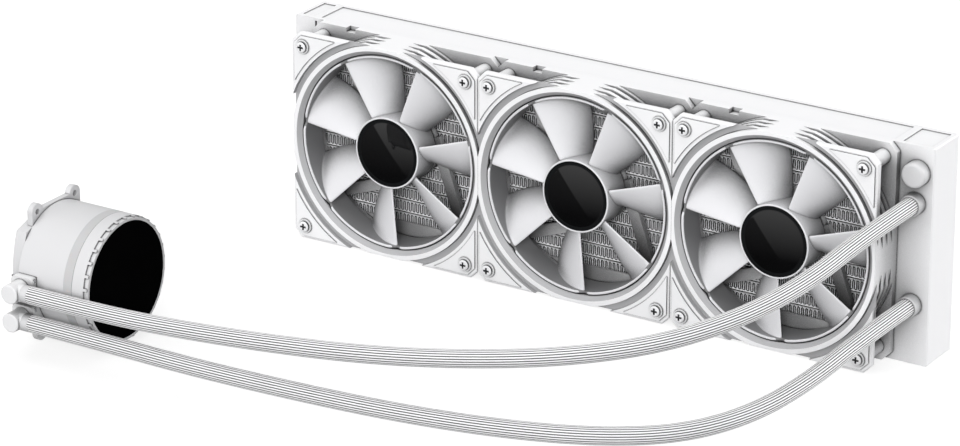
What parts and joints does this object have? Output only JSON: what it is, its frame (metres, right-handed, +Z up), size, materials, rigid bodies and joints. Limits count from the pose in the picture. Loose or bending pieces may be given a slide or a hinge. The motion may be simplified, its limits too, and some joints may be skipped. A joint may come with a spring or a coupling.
{
  "type": "all-in-one liquid cooler",
  "caption": "Liquid cooler for a processor: a long radiator with framed axial fans, ribbed hoses and a round pump with a dark display.",
  "frame": {"origin": "middle of the radiator's underside, at the middle of its length and depth", "axes": "+X along the radiator towards the hose sockets, +Y from the fans to the radiator's back, +Z up"},
  "size_m": [0.4155, 0.2768, 0.12],
  "materials": {
    "frame_plastic": "satin white moulded plastic",
    "rotor_plastic": "satin off-white moulded plastic",
    "black_gloss": "polished black",
    "magnet": "dull dark grey",
    "steel": "ground steel",
    "bronze": "plain bearing bronze",
    "winding_iron": "laminated iron with enamelled copper wire",
    "circuit_board": "green circuit board",
    "white_screw": "white painted screw",
    "white_paint": "satin white powder coat",
    "core_paint": "thin white paint over aluminium",
    "rubber": "black rubber",
    "ferrule_white": "smooth white",
    "hose_sleeve": "white ribbed sleeve over a rubber hose",
    "black_window": "black glass, dark when off",
    "pump_plastic": "semi-gloss white moulded plastic",
    "screen_panel": "dark screen",
    "diffuser": "translucent grey diffuser, unlit",
    "impeller_plastic": "black moulded plastic",
    "ceramic": "polished ceramic",
    "copper": "milled copper"
  },
  "bodies": {
    "cooler": {"base_ring": "pump_plastic", "bezel_ring": "pump_plastic", "bottom_channel": "white_paint", "cold_plate": "copper", "cold_plate_screws": "steel", "cold_plate_seal": "rubber", "control_board": "circuit_board", "coolant_tubes": "core_paint", "display_panel": "screen_panel", "display_window": "black_window", "elbow_clips": "steel", "elbow_seals": "rubber", "fan_screws": "white_screw", "fill_cap": "white_paint", "fill_cap_seal": "rubber", "fin_strips": "core_paint", "impeller_shaft": "ceramic", "left_fan_bearing": "bronze", "left_fan_board": "circuit_board", "left_fan_frame": "frame_plastic", "left_fan_stator": "winding_iron", "left_header_plate": "white_paint", "left_tank": "white_paint", "light_ring": "diffuser", "lower_elbow": "pump_plastic", "lower_elbow_ferrule": "ferrule_white", "lower_hose": "hose_sleeve", "lower_tank_ferrule": "ferrule_white", "middle_fan_bearing": "bronze", "middle_fan_board": "circuit_board", "middle_fan_frame": "frame_plastic", "middle_fan_stator": "winding_iron", "pump_chamber": "pump_plastic", "pump_housing": "pump_plastic", "pump_stator": "winding_iron", "right_fan_bearing": "bronze", "right_fan_board": "circuit_board", "right_fan_frame": "frame_plastic", "right_fan_stator": "winding_iron", "right_header_plate": "white_paint", "right_tank": "white_paint", "top_channel": "white_paint", "upper_elbow": "pump_plastic", "upper_elbow_ferrule": "ferrule_white", "upper_hose": "hose_sleeve", "upper_tank_ferrule": "ferrule_white"},
    "left_rotor": {"left_fan_rotor": "rotor_plastic", "left_hub_cap": "black_gloss", "left_rotor_magnet": "magnet", "left_fan_shaft": "steel"},
    "middle_rotor": {"middle_fan_rotor": "rotor_plastic", "middle_hub_cap": "black_gloss", "middle_rotor_magnet": "magnet", "middle_fan_shaft": "steel"},
    "right_rotor": {"right_fan_rotor": "rotor_plastic", "right_hub_cap": "black_gloss", "right_rotor_magnet": "magnet", "right_fan_shaft": "steel"},
    "impeller": {"pump_impeller": "impeller_plastic"}
  },
  "joints": [
    {"name": "left_fan_spin", "type": "hinge", "parent": "cooler", "child": "left_rotor", "pos_m": [-0.1225, -0.026, 0.06], "axis": [0, -1, 0], "continuous": true},
    {"name": "middle_fan_spin", "type": "hinge", "parent": "cooler", "child": "middle_rotor", "pos_m": [-0.0025, -0.026, 0.06], "axis": [0, -1, 0], "continuous": true},
    {"name": "right_fan_spin", "type": "hinge", "parent": "cooler", "child": "right_rotor", "pos_m": [0.1175, -0.026, 0.06], "axis": [0, -1, 0], "continuous": true},
    {"name": "impeller_spin", "type": "hinge", "parent": "cooler", "child": "impeller", "pos_m": [-0.195, -0.2145, 0.0382], "axis": [1, 0, 0], "continuous": true}
  ]
}
